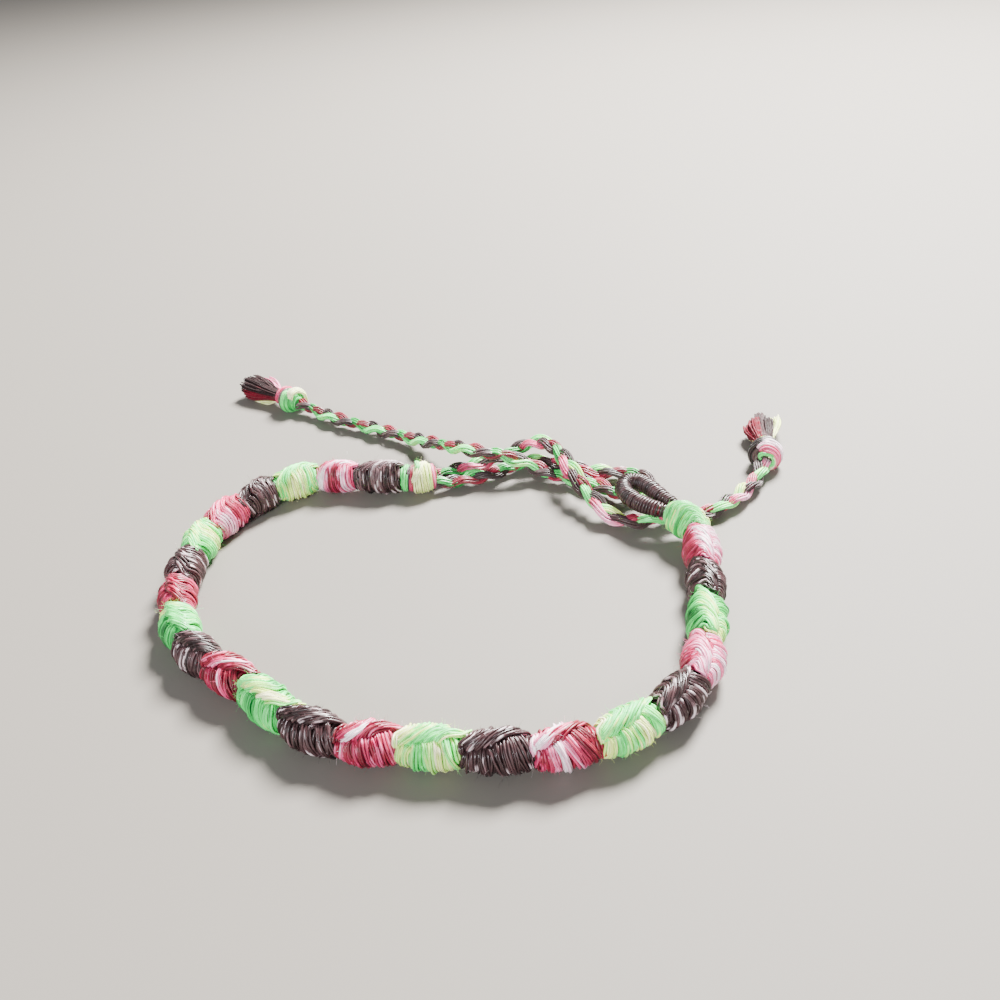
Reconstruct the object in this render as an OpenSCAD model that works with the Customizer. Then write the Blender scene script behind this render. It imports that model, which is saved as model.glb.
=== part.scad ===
// Knotted thread friendship bracelet, lying closed on a flat surface.
// A ring of 24 runs of knots in green, pink and brown on a core of carried
// strands, with a wrapped closure loop at one end and, at the other, an end
// knot with two braided ties that run under the loop.

/* [Band] */
// Diameter of a run of knots at its crest
crest_d = 4.3; // [4:0.05:4.6]
// Diameter of the band where two runs meet
pinch_d = 2.8; // [2.6:0.05:3.1]
// Height of the slanted ridge of crossing strands
ridge_h = 0.5; // [0.2:0.05:0.6]
// Clear gap between two runs of knots
run_gap = 0.14; // [0.1:0.02:0.2]
// Diameter of the bundle of carried strands
core_d = 1.2; // [0.8:0.1:1.4]
// Play between the core and the runs around it
core_play = 0.12; // [0.1:0.02:0.2]

/* [Closure loop] */
// Diameter of the wrapped cord of the loop
loop_d = 2.1; // [1.9:0.05:2.15]
// Diameter of each leg of the loop where it enters the first run
leg_d = 1.4; // [1.2:0.1:1.5]

/* [Ties] */
// Diameter of each braided tie
tie_d = 2.3; // [2:0.1:2.3]
// Diameter of a tie where it leaves the end knot
tie_root_d = 1.6; // [1.4:0.1:1.7]
// Diameter of the end knot of the band
end_knot_d = 3.9; // [3.7:0.1:4.1]
// Diameter of the knot at the end of each tie
tie_knot_d = 3.5; // [3.2:0.1:3.8]
// Diameter of a tassel at its cut end
tassel_d = 4.4; // [3.6:0.1:5]

/* [Hidden] */
COLOURS = ["green", "pink", "brown"];
SHADES = [[0.62, 0.88, 0.66], [0.85, 0.42, 0.52], [0.42, 0.34, 0.35]];
RUNS = 24;
function run_name(i) = str("knots_", i < 10 ? "0" : "", i, "_", COLOURS[(i - 1) % 3]);

run_sides = 12;
run_steps = 10;
tube_sides = 8;
core_sides = 6;
lift = crest_d / 2;

// The ridge's angle at a run's start, how far it turns along the run, and how
// far it spreads to each side
ridge_from = 90;
ridge_turn = 33;
ridge_spread = 36;

// Joints between the runs, from the closure loop round to the end knot.
// The first two are raised, because the loop's end lies over a tie.
// Columns: x, y, height of the centre line above its resting height
JOINTS = [
    [27.8, 8.3, 1.15],
    [29.8, 4.6, 0.45],
    [29.2, -1.3, 0],
    [28.3, -6.9, 0],
    [26.8, -13.2, 0],
    [24.6, -18.6, 0],
    [20.0, -22.5, 0],
    [14.4, -25.0, 0],
    [8.5, -25.5, 0],
    [2.2, -24.6, 0],
    [-3.6, -23.2, 0],
    [-9.0, -22.0, 0],
    [-14.5, -18.4, 0],
    [-18.9, -13.6, 0],
    [-23.3, -9.8, 0],
    [-26.8, -5.8, 0],
    [-29.0, -0.4, 0],
    [-29.7, 4.8, 0],
    [-29.4, 10.2, 0],
    [-28.3, 15.6, 0],
    [-25.2, 20.2, 0],
    [-21.4, 23.7, 0],
    [-16.1, 25.8, 0],
    [-10.8, 24.9, 0],
    [-4.8, 23.8, 0]
];

// Middle line of the closure loop between its two roots, out and back.
// Columns: x, y, z, share of the full diameter
LOOP = [
    [27.9, 9.9, 3.5, 0.3],
    [27.0, 11.4, 3.55, 0.7],
    [26.2, 13.1, 3.55, 1],
    [25.2, 14.8, 3.55, 1],
    [23.9, 15.5, 3.55, 1],
    [22.9, 14.7, 3.55, 1],
    [22.8, 13.0, 3.55, 1],
    [23.6, 11.3, 3.55, 1],
    [24.7, 9.9, 3.55, 1],
    [25.9, 8.9, 3.55, 0.7],
    [26.7, 8.6, 3.45, 0.3]
];
// Each leg of the loop enters the first run this far from the middle line
leg_side = 0.8;

// End knot between the last run and the ties, as points on its middle line
END_KNOT = [[-4.7, 23.8, lift], [-2.6, 23.6, 1.95], [-0.6, 23.8, 1.95]];

// Route of tie A: from the end knot, over tie B, under the loop, to the right
TIE_A = [
    [-0.5, 24.7, 1.6], [1.5, 25.7, 1.2], [4.0, 26.6, 1.2], [6.6, 27.6, 1.2],
    [8.6, 28.5, 1.3], [10.5, 29.0, 1.75], [12.4, 28.7, 2.6], [14.1, 27.4, 3.4],
    [15.5, 25.2, 3.7], [16.3, 22.3, 3.7], [17.1, 19.2, 3.4], [18.1, 16.4, 2.8],
    [19.2, 14.0, 2.1], [20.5, 11.9, 1.5], [22.3, 10.6, 1.2], [24.4, 10.2, 1.2],
    [26.6, 10.5, 1.2], [28.8, 10.9, 1.2], [31.1, 10.7, 1.2], [33.5, 11.1, 1.2],
    [35.9, 12.7, 1.2], [38.3, 15.0, 1.2], [40.6, 17.9, 1.3], [41.8, 20.0, 1.6]
];

// Route of tie B: from the end knot, round under the loop and back, then left
TIE_B = [
    [-0.5, 22.9, 1.6], [1.5, 23.0, 1.2], [4.0, 23.5, 1.2], [6.2, 24.0, 1.2],
    [8.4, 25.1, 1.2], [10.6, 26.0, 1.2], [12.9, 26.3, 1.2], [15.2, 25.5, 1.2],
    [17.4, 24.0, 1.2], [19.8, 22.6, 1.2], [22.0, 21.8, 1.2], [23.9, 21.4, 1.2],
    [25.6, 20.6, 1.2], [26.5, 19.0, 1.2], [26.2, 17.2, 1.2], [24.8, 16.0, 1.2],
    [22.9, 16.1, 1.2], [21.5, 17.4, 1.2], [20.3, 18.9, 1.2], [18.8, 20.2, 1.2],
    [16.9, 21.3, 1.2], [14.4, 22.7, 1.3], [12.0, 24.0, 2.2],
    [10.0, 24.2, 3.2], [8.2, 24.6, 3.7], [6.0, 25.6, 3.7], [3.8, 27.1, 3.7],
    [1.6, 29.1, 3.2], [-0.6, 31.6, 2.4], [-3.2, 34.6, 1.6], [-6.2, 37.4, 1.2],
    [-9.7, 40.0, 1.2], [-13.3, 42.4, 1.2], [-16.6, 45.0, 1.2], [-19.3, 47.6, 1.3],
    [-21.4, 49.3, 1.6]
];

// Direction in which both ties leave the end knot
TIES_AIM = [1, 0, 0];

// Knots near the ends of the ties, from the tie's end to the tassel
KNOT_A = [[41.85, 20.1, 1.75], [42.5, 21.9, 1.8], [43.0, 23.6, 1.75]];
KNOT_B = [[-21.5, 49.4, 1.75], [-22.9, 50.5, 1.8], [-24.2, 51.6, 1.75]];
// Tassels, from the knot to the middle of the cut end
TASSEL_A = [[43.0, 23.7, 1.75], [44.3, 31.6, 1.7]];
TASSEL_B = [[-24.3, 51.7, 1.75], [-30.6, 58.0, 1.7]];

// Locks of a tassel, round its middle line.
// Columns: share of the tassel's length, share of its spread
LOCKS = [
    [1.0, 1.0],
    [0.88, 0.85],
    [0.96, 0.95],
    [0.84, 1.0],
    [1.0, 0.8],
    [0.9, 0.95]
];
// Points round a lock, from the furrow before it: share of its radius
FURROWS = [0.66, 0.92, 1.0, 0.92];

function unit(v) = v / norm(v);

// A point on the smooth curve through the rows of p, at s rows from its start
function curve(p, s) =
    let(
        last = len(p) - 1,
        i = min(floor(s), last - 1),
        t = s - i,
        a = p[max(i - 1, 0)],
        b = p[i],
        c = p[i + 1],
        d = p[min(i + 2, last)]
    )
    b + (c - a) * t / 2
    + (2 * a - 5 * b + 4 * c - d) * t * t / 2
    + (3 * b - a - 3 * c + d) * t * t * t / 2;

function place(row) = [row[0], row[1], row[2]];

// The direction of that curve; ends gives it at the first and the last row
function heading(p, s, ends = [undef, undef]) =
    s == 0 && ends[0] != undef ? ends[0]
    : s == len(p) - 1 && ends[1] != undef ? ends[1]
    : unit(place(curve(p, min(s + 0.02, len(p) - 1)) - curve(p, max(s - 0.02, 0))));

// A point at radius r and angle phi about a middle line: 0 is level, on the
// ring's outer side, and 90 is on top. Nothing goes below the surface.
function around(centre, along, r, phi) =
    let(
        outward = unit(cross([0, 0, 1], along)),
        upward = cross(along, outward),
        q = centre + r * (cos(phi) * outward + sin(phi) * upward)
    )
    [q[0], q[1], max(q[2], 0)];

function circle_ring(centre, along, r, sides) =
    [for (k = [0:sides - 1]) around(centre, along, r, 360 * k / sides)];

// Two triangles for each cell between ring a and ring b
function band_faces(a, b, n) = [
    for (k = [0:n - 1], half = [0, 1])
        let(m = (k + 1) % n)
        half == 0 ? [a * n + k, b * n + m, a * n + m] : [a * n + k, b * n + k, b * n + m]
];

// A solid through rings of n points, closed at both ends
module skin(rings) {
    n = len(rings[0]);
    count = len(rings);
    polyhedron(
        points = [for (ring = rings, q = ring) q],
        faces = concat(
            [for (j = [0:count - 2], f = band_faces(j, j + 1, n)) f],
            [[for (k = [0:n - 1]) k]],
            [[for (k = [n - 1:-1:0]) (count - 1) * n + k]]
        )
    );
}

// A solid through rings that come back to the first, like a bead with a hole
module closed_skin(rings) {
    n = len(rings[0]);
    count = len(rings);
    polyhedron(
        points = [for (ring = rings, q = ring) q],
        faces = [for (j = [0:count - 1], f = band_faces(j, (j + 1) % count, n)) f]
    );
}

BAND = [for (q = JOINTS) [q[0], q[1], q[2] + lift]];

// Swelling of a run from one pinch (u = 0) to the next (u = 1). The wraps fan
// out below, so the run is fuller at its foot than along its top.
function swell(u, phi) = pow(max(sin(180 * u), 0), 0.65 + 0.2 * sin(phi));

// The ridge winds from the top at a run's start a third of the way to the outer
// side at its end
function ridge(u, phi) =
    let(off = (phi - (ridge_from - ridge_turn * u) + 540) % 360 - 180)
    exp(-pow(off / ridge_spread, 2)) * swell(u, phi);

function run_radius(u, phi) =
    pinch_d / 2 + (crest_d - pinch_d) / 2 * swell(u, phi) + ridge_h * ridge(u, phi);

module run_of_knots(i) {
    a = BAND[i - 1];
    b = BAND[i];
    edge = run_gap / 2 / norm(b - a);
    outer = [
        for (j = [0:run_steps])
            let(
                u = edge + (1 - 2 * edge) * j / run_steps,
                s = i - 1 + u
            )
            [for (k = [0:run_sides - 1])
                let(phi = 360 * k / run_sides)
                around(curve(BAND, s), heading(BAND, s), run_radius(u, phi), phi)]
    ];
    hole = [
        for (u = [1 - edge, 0.5, edge])
            let(s = i - 1 + u)
            circle_ring(curve(BAND, s), heading(BAND, s), core_d / 2 + core_play, run_sides)
    ];
    color(SHADES[(i - 1) % 3]) closed_skin(concat(outer, hole));
}

// The carried strands, from inside the first run to inside the last
module core() {
    color("tan") skin([
        for (s = [0.01, each [0.5:0.5:RUNS - 0.5], RUNS - 0.01])
            circle_ring(curve(BAND, s), heading(BAND, s), core_d / 2, core_sides)
    ]);
}

// The loop, with both legs squared up to the end of the first run
module closure_loop() {
    inward = heading(BAND, 0);
    across = unit(cross([0, 0, 1], inward)) * leg_side;
    root = BAND[0] - inward * run_gap;
    line = concat([[each root + across, 0]], LOOP, [[each root - across, 0]]);
    color(SHADES[2]) skin([
        for (s = [0:0.5:len(line) - 1])
            let(
                row = curve(line, s),
                share = min(max(row[3], 0), 1),
                d = leg_d + (loop_d - leg_d) * share
            )
            circle_ring(place(row), heading(line, s, [-inward, inward]), d / 2, tube_sides)
    ]);
}

// A knot as a rounded bead along a middle line, with one slanted turn raised
module tied_knot(line, ends, d, start_d, finish_d, sides, steps) {
    skin([
        for (j = [0:steps])
            let(
                u = j / steps,
                s = u * (len(line) - 1),
                base = start_d + (finish_d - start_d) * u,
                rise = pow(max(sin(180 * u), 0), 0.6)
            )
            [for (k = [0:sides - 1])
                let(
                    phi = 360 * k / sides,
                    turn = cos(phi - 60 - 200 * u),
                    r = (base + (d - base) * rise * (0.92 + 0.08 * turn)) / 2
                )
                around(curve(line, s), heading(line, s, ends), r, phi)]
    ]);
}

module end_knot() {
    ends = [heading(BAND, RUNS), TIES_AIM];
    color([0.86, 0.93, 0.75]) tied_knot(END_KNOT, ends, end_knot_d, pinch_d, 3.3, run_sides, 8);
}

module tie(route, knot) {
    ends = [TIES_AIM, unit(knot[1] - knot[0])];
    skin([
        for (s = [0:len(route) - 1])
            let(d = s == 0 ? tie_root_d : tie_d)
            circle_ring(route[s], heading(route, s, ends), d / 2, tube_sides)
    ]);
}

module tie_a() {
    color([0.80, 0.55, 0.55]) tie(TIE_A, KNOT_A);
}

module tie_b() {
    color([0.62, 0.62, 0.50]) tie(TIE_B, KNOT_B);
}

module tie_knot(line, tassel) {
    ends = [unit(line[1] - line[0]), unit(tassel[1] - tassel[0])];
    tied_knot(line, ends, tie_knot_d, 2.4, 2.4, 10, 6);
}

module tie_a_knot() {
    color([0.93, 0.80, 0.83]) tie_knot(KNOT_A, TASSEL_A);
}

module tie_b_knot() {
    color([0.88, 0.92, 0.86]) tie_knot(KNOT_B, TASSEL_B);
}

// A tassel as one body: its locks part from a round head towards the cut end
module tassel(from, to) {
    along = unit(to - from);
    sides = len(LOCKS) * len(FURROWS);
    function lock_at(k) = LOCKS[floor(k / len(FURROWS))];
    function behind(k) = LOCKS[(floor(k / len(FURROWS)) + len(LOCKS) - 1) % len(LOCKS)];
    function share(k, column) =
        k % len(FURROWS) == 0 ? (lock_at(k)[column] + behind(k)[column]) / 2 : lock_at(k)[column];
    // Columns: share of the lock's length, radius, how far the locks have parted
    steps = [
        [0, 1.15, 0],
        [0.12, 1.5, 0.1],
        [0.3, 1.6, 0.35],
        [0.55, 1.75, 0.7],
        [0.8, 0.95 * tassel_d / 2, 1],
        [0.97, tassel_d / 2, 1],
        [1, 0.8 * tassel_d / 2, 1]
    ];
    skin(concat(
        [for (step = steps)
            [for (k = [0:sides - 1])
                let(
                    length_share = 1 + (share(k, 0) - 1) * step[2],
                    spread = 1 + (share(k, 1) * FURROWS[k % len(FURROWS)] - 1) * step[2]
                )
                around(from + (to - from) * step[0] * length_share, along,
                    step[1] * spread, 360 * k / sides)]],
        [circle_ring(from + (to - from) * 0.7, along, 0.5, sides)]
    ));
}

module tie_a_tassel() {
    color([0.50, 0.28, 0.31]) tassel(TASSEL_A[0], TASSEL_A[1]);
}

module tie_b_tassel() {
    color([0.40, 0.24, 0.25]) tassel(TASSEL_B[0], TASSEL_B[1]);
}

for (i = [1:RUNS]) run_of_knots(i);
core();
closure_loop();
end_knot();
tie_a();
tie_b();
tie_a_knot();
tie_b_knot();
tie_a_tassel();
tie_b_tassel();
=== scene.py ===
"""A knotted thread bracelet: wound runs of thread, a closure loop and braided ties."""
import math

import bpy
import numpy as np
from mathutils import Euler, Matrix, Vector


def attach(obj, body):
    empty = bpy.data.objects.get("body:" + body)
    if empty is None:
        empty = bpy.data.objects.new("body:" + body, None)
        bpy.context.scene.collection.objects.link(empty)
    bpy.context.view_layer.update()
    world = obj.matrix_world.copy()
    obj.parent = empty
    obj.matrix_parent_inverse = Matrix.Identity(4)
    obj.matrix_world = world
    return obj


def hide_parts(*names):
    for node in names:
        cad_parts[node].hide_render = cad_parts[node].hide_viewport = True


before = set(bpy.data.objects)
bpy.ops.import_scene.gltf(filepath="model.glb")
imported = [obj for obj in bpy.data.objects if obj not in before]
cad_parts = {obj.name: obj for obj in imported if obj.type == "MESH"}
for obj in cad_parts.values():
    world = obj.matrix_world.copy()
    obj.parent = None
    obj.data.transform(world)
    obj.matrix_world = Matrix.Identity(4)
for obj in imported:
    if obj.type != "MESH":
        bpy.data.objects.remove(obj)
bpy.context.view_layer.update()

# All shapes below are worked out in millimetres and made into meshes in metres.
MM = 0.001
rng = np.random.default_rng(24)

# Sizes of the band, its two ends and the ties, as in the CAD source
CREST_D = 4.3
PINCH_D = 2.8
RIDGE_FROM = 90.0
RIDGE_TURN = 33.0
RUN_GAP = 0.14
LIFT = CREST_D / 2
LEG_SIDE = 0.8
LEG_D = 1.4
LOOP_D = 2.1
TIE_D = 2.3
TIE_ROOT_D = 1.6
END_KNOT_D = 3.9
END_KNOT_FACE_D = 3.3
TIE_KNOT_D = 3.5
TASSEL_D = 4.4

# Joints between the runs: x, y, height above the resting height
JOINTS = [
    (27.8, 8.3, 1.15), (29.8, 4.6, 0.45), (29.2, -1.3, 0), (28.3, -6.9, 0), (26.8, -13.2, 0),
    (24.6, -18.6, 0), (20.0, -22.5, 0), (14.4, -25.0, 0), (8.5, -25.5, 0), (2.2, -24.6, 0),
    (-3.6, -23.2, 0), (-9.0, -22.0, 0), (-14.5, -18.4, 0), (-18.9, -13.6, 0), (-23.3, -9.8, 0),
    (-26.8, -5.8, 0), (-29.0, -0.4, 0), (-29.7, 4.8, 0), (-29.4, 10.2, 0), (-28.3, 15.6, 0),
    (-25.2, 20.2, 0), (-21.4, 23.7, 0), (-16.1, 25.8, 0), (-10.8, 24.9, 0), (-4.8, 23.8, 0),
]
RUNS = len(JOINTS) - 1
# The runs take these colours in turn
COLOURS = ["green", "pink", "brown"]

# Middle line of the closure loop between its roots: x, y, z, share of the full diameter
LOOP = [
    (27.9, 9.9, 3.5, 0.3), (27.0, 11.4, 3.55, 0.7), (26.2, 13.1, 3.55, 1), (25.2, 14.8, 3.55, 1),
    (23.9, 15.5, 3.55, 1), (22.9, 14.7, 3.55, 1), (22.8, 13.0, 3.55, 1), (23.6, 11.3, 3.55, 1),
    (24.7, 9.9, 3.55, 1), (25.9, 8.9, 3.55, 0.7), (26.7, 8.6, 3.45, 0.3),
]
END_KNOT = [(-4.7, 23.8, LIFT), (-2.6, 23.6, 1.95), (-0.6, 23.8, 1.95)]

# Routes of the two ties, from the end knot to the tie's own knot
TIE_A = [
    (-0.5, 24.7, 1.6), (1.5, 25.7, 1.2), (4.0, 26.6, 1.2), (6.6, 27.6, 1.2),
    (8.6, 28.5, 1.3), (10.5, 29.0, 1.75), (12.4, 28.7, 2.6), (14.1, 27.4, 3.4),
    (15.5, 25.2, 3.7), (16.3, 22.3, 3.7), (17.1, 19.2, 3.4), (18.1, 16.4, 2.8),
    (19.2, 14.0, 2.1), (20.5, 11.9, 1.5), (22.3, 10.6, 1.2), (24.4, 10.2, 1.2),
    (26.6, 10.5, 1.2), (28.8, 10.9, 1.2), (31.1, 10.7, 1.2), (33.5, 11.1, 1.2),
    (35.9, 12.7, 1.2), (38.3, 15.0, 1.2), (40.6, 17.9, 1.3), (41.8, 20.0, 1.6),
]
TIE_B = [
    (-0.5, 22.9, 1.6), (1.5, 23.0, 1.2), (4.0, 23.5, 1.2), (6.2, 24.0, 1.2),
    (8.4, 25.1, 1.2), (10.6, 26.0, 1.2), (12.9, 26.3, 1.2), (15.2, 25.5, 1.2),
    (17.4, 24.0, 1.2), (19.8, 22.6, 1.2), (22.0, 21.8, 1.2), (23.9, 21.4, 1.2),
    (25.6, 20.6, 1.2), (26.5, 19.0, 1.2), (26.2, 17.2, 1.2), (24.8, 16.0, 1.2),
    (22.9, 16.1, 1.2), (21.5, 17.4, 1.2), (20.3, 18.9, 1.2), (18.8, 20.2, 1.2),
    (16.9, 21.3, 1.2), (14.4, 22.7, 1.3), (12.0, 24.0, 2.2),
    (10.0, 24.2, 3.2), (8.2, 24.6, 3.7), (6.0, 25.6, 3.7), (3.8, 27.1, 3.7),
    (1.6, 29.1, 3.2), (-0.6, 31.6, 2.4), (-3.2, 34.6, 1.6), (-6.2, 37.4, 1.2),
    (-9.7, 40.0, 1.2), (-13.3, 42.4, 1.2), (-16.6, 45.0, 1.2), (-19.3, 47.6, 1.3),
    (-21.4, 49.3, 1.6),
]
# The way that both ties leave the end knot
TIES_AIM = (1.0, 0.0, 0.0)
# Middle lines of the ties' knots, and of their tassels
KNOT_A = [(41.85, 20.1, 1.75), (42.5, 21.9, 1.8), (43.0, 23.6, 1.75)]
KNOT_B = [(-21.5, 49.4, 1.75), (-22.9, 50.5, 1.8), (-24.2, 51.6, 1.75)]
TASSEL_A = [(43.0, 23.7, 1.75), (44.3, 31.6, 1.7)]
TASSEL_B = [(-24.3, 51.7, 1.75), (-30.6, 58.0, 1.7)]

# The thread: a ply's radius, how many plies lie in one bundle, and how far along a ply
# its two yarns take for one turn
PLY_R = 0.13
PLIES = 6
YARN_LAY = 0.42
# A loose fibre's greatest length, and its radius at its root
FIBRE_REACH = 0.9
FIBRE_R = 0.013
# No thread goes lower than this over the surface that it lies on
LOWEST = 0.015
UP = np.array([0.0, 0.0, 1.0])

# Dyed shades of each colour, from its deepest to its palest, as sRGB
SHADES = {
    "green": [(10, 108, 40), (50, 216, 96), (112, 255, 136), (232, 255, 128), (255, 255, 204)],
    "pink": [(98, 2, 26), (146, 10, 48), (226, 62, 118), (253, 160, 200), (255, 246, 252)],
    # The palest brown is reached in the highlights painted on the brown thread
    "brown": [(30, 16, 17), (56, 34, 36), (88, 61, 64), (128, 98, 102), (236, 216, 221)],
}


# Camera

# Degrees that it looks down and is rolled clockwise, its place, and its frame's width
CAMERA_DOWN = 33
CAMERA_ROLL = 5.4
CAMERA_PLACE = (7.67, -88.28, 70.0)
FRAME_WIDTH = 36.0


def make_camera():
    """The photograph's view. The lens is as long as the frame is wide."""
    data = bpy.data.cameras.new("camera")
    data.sensor_width = FRAME_WIDTH
    data.lens = FRAME_WIDTH
    data.clip_start = 0.005
    data.clip_end = 5.0
    camera = bpy.data.objects.new("camera", data)
    bpy.context.scene.collection.objects.link(camera)
    level = Euler((math.radians(90 - CAMERA_DOWN), 0, 0)).to_matrix()
    turned = level @ Matrix.Rotation(math.radians(-CAMERA_ROLL), 3, "Z")
    camera.matrix_world = Matrix.Translation(Vector(CAMERA_PLACE) * MM) @ turned.to_4x4()
    bpy.context.scene.camera = camera


# Curves and directions

def unit(v):
    return v / np.maximum(np.linalg.norm(v, axis=-1, keepdims=True), 1e-9)


def curve(rows, s):
    """Points on the smooth curve through rows, at s rows from its start."""
    p = np.asarray(rows, float)
    s = np.asarray(s, float)
    last = len(p) - 1
    i = np.clip(np.floor(s).astype(int), 0, last - 1)
    t = (s - i)[..., None]
    a, b = p[np.maximum(i - 1, 0)], p[i]
    c, d = p[i + 1], p[np.minimum(i + 2, last)]
    return (b + (c - a) * t / 2 + (2 * a - 5 * b + 4 * c - d) * t ** 2 / 2
            + (3 * b - a - 3 * c + d) * t ** 3 / 2)


def even_line(rows, step):
    """Points at an even spacing on the same curve, and how far along it each one lies."""
    fine = curve(rows, np.linspace(0, len(rows) - 1, 40 * len(rows)))[:, :3]
    run = np.r_[0, np.cumsum(np.linalg.norm(np.diff(fine, axis=0), axis=1))]
    at = np.linspace(0, run[-1], int(run[-1] / step) + 2)
    return np.stack([np.interp(at, run, fine[:, k]) for k in range(3)], 1), at


BAND = np.array([(x, y, z + LIFT) for x, y, z in JOINTS])


def band_frame(s):
    """Centre, outward and upward directions of the band at s runs from its start."""
    s = np.clip(s, 0, RUNS)
    along = unit(curve(BAND, np.minimum(s + 0.02, RUNS)) - curve(BAND, np.maximum(s - 0.02, 0)))
    outward = unit(np.cross(UP, along))
    return curve(BAND, s), outward, np.cross(along, outward)


def smooth(x):
    x = np.clip(x, 0, 1)
    return x * x * (3 - 2 * x)


def drift(n, size, bends=6):
    """A smooth random line about 0, of n values."""
    return curve(rng.normal(0, size, (bends, 1)), np.linspace(0, bends - 1, n))[:, 0]


def swell(u, phi):
    """A run's swelling. Past a run's end it is the next run's."""
    return np.abs(np.sin(np.pi * u)) ** (0.65 + 0.2 * np.sin(np.radians(phi)))


def on_run(i, u, phi, inset):
    """Points inset from the surface of run i, at u along it and phi degrees round it."""
    u, phi = np.broadcast_arrays(np.asarray(u, float), np.asarray(phi, float))
    centre, outward, upward = band_frame(i - 1 + u)
    turn = np.radians(phi)[..., None]
    radial = np.cos(turn) * outward + np.sin(turn) * upward
    radius = PINCH_D / 2 + (CREST_D - PINCH_D) / 2 * swell(u, phi) - inset
    return centre + radius[..., None] * radial, radial


# Thread meshes

def linear(rgb):
    c = np.asarray(rgb, float) / 255
    return np.where(c <= 0.04045, c / 12.92, ((c + 0.055) / 1.055) ** 2.4)


def tint(colour, tone):
    """The linear colour of a thread at a tone from 0, deepest, to 1, palest."""
    stops = linear(SHADES[colour])
    at = np.linspace(0, 1, len(stops))
    tone = np.clip(tone, 0, 1)
    return np.stack([np.interp(tone, at, stops[:, k]) for k in range(3)], -1)


class Threads:
    """Gathers swept threads, and makes one mesh of them."""

    def __init__(self):
        self.points, self.quads, self.caps = [], [], []
        self.tints, self.lengths, self.rounds = [], [], []
        self.count = 0

    def sweep(self, lines, outward, radius, colour, sides=5):
        """Adds threads along lines, which hold threads x points x 3 numbers.

        outward keeps their rings from turning. colour is linear, one for each point or for all.
        """
        t, n, _ = lines.shape
        along = unit(np.gradient(lines, axis=1))
        outward = np.broadcast_to(outward, lines.shape)
        out = unit(outward - (outward * along).sum(-1, keepdims=True) * along)
        side = np.cross(along, out)
        turn = 2 * np.pi * np.arange(sides) / sides
        ring = np.cos(turn)[:, None] * out[:, :, None] + np.sin(turn)[:, None] * side[:, :, None]
        radius = np.broadcast_to(np.asarray(radius, float), (t, n))[..., None, None]
        points = lines[:, :, None] + radius * ring
        points[..., 2] = np.maximum(points[..., 2], LOWEST)
        index = self.count + np.arange(t * n * sides).reshape(t, n, sides)
        after = np.roll(index, -1, axis=2)
        quads = np.stack([index[:, :-1], index[:, 1:], after[:, 1:], after[:, :-1]], -1)
        steps = np.linalg.norm(np.diff(lines, axis=1), axis=2)
        run = np.concatenate([np.zeros((t, 1)), np.cumsum(steps, axis=1)], 1)
        start, end = run[:, :-1, None], run[:, 1:, None]
        lengths = np.stack(np.broadcast_arrays(start, end, end, start), -1)
        left, right = np.arange(sides) / sides, (np.arange(sides) + 1) / sides
        rounds = np.stack([left, left, right, right], -1)
        self.points.append(points.reshape(-1, 3))
        self.quads.append(quads.reshape(-1, 4))
        self.lengths.append(np.broadcast_to(lengths, quads.shape).reshape(-1))
        self.rounds.append(np.broadcast_to(rounds, quads.shape).reshape(-1))
        self.caps.append(index[:, 0])
        self.caps.append(index[:, -1, ::-1])
        tints = np.broadcast_to(np.asarray(colour, float), lines.shape)
        self.tints.append(np.repeat(tints.reshape(-1, 3), sides, axis=0))
        self.count += t * n * sides

    def make(self, name, material):
        """The gathered threads as one object."""
        points = np.concatenate(self.points) * MM
        quads = np.concatenate(self.quads)
        rings = {}
        for cap in self.caps:
            rings.setdefault(cap.shape[1], []).append(cap)
        caps = [np.concatenate(rings[k]) for k in sorted(rings)]
        loops = np.concatenate([quads.ravel()] + [c.ravel() for c in caps])
        cap_sizes = [np.full(len(c), c.shape[1]) for c in caps]
        sizes = np.concatenate([np.full(len(quads), 4)] + cap_sizes)
        mesh = bpy.data.meshes.new(name)
        mesh.vertices.add(len(points))
        mesh.vertices.foreach_set("co", points.ravel())
        mesh.loops.add(len(loops))
        mesh.loops.foreach_set("vertex_index", loops.astype(np.int32))
        mesh.polygons.add(len(sizes))
        mesh.polygons.foreach_set("loop_start", np.r_[0, np.cumsum(sizes)[:-1]].astype(np.int32))
        mesh.polygons.foreach_set("loop_total", sizes.astype(np.int32))
        mesh.polygons.foreach_set("use_smooth", np.ones(len(sizes), bool))
        uv = np.zeros((len(loops), 2))
        uv[:quads.size, 0] = np.concatenate(self.lengths)
        uv[:quads.size, 1] = np.concatenate(self.rounds)
        layer = mesh.uv_layers.new(name="ply")
        layer.data.foreach_set("uv", uv.ravel())
        rgba = np.ones((len(points), 4))
        rgba[:, :3] = np.concatenate(self.tints)
        colours = mesh.attributes.new("tint", "FLOAT_COLOR", "POINT")
        colours.data.foreach_set("color", rgba.ravel())
        mesh.update()
        mesh.validate()
        mesh.materials.append(material)
        piece = bpy.data.objects.new(name, mesh)
        bpy.context.scene.collection.objects.link(piece)
        return piece


def bundle(path, outward, plies, wide, thick, turns, start, wander):
    """The lines of a bundle's plies: they turn slowly about its path, on an ellipse.

    wander is how far a ply strays from its place.
    """
    bends = 6
    n = len(path)
    along = unit(np.gradient(path, axis=0))
    out = unit(outward - (outward * along).sum(-1, keepdims=True) * along)
    side = np.cross(along, out)
    k = np.arange(plies)[:, None]
    angle = start + 2 * np.pi * k / plies + 2 * np.pi * turns * np.linspace(0, 1, n)[None]
    loose = rng.normal(0, wander, (plies, 2, bends))
    at = np.linspace(0, bends - 1, n)
    a = wide * np.cos(angle) + np.array([np.interp(at, range(bends), w) for w in loose[:, 0]])
    b = thick * np.sin(angle) + np.array([np.interp(at, range(bends), w) for w in loose[:, 1]])
    return path[None] + a[..., None] * side[None] + b[..., None] * out[None], out


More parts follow.
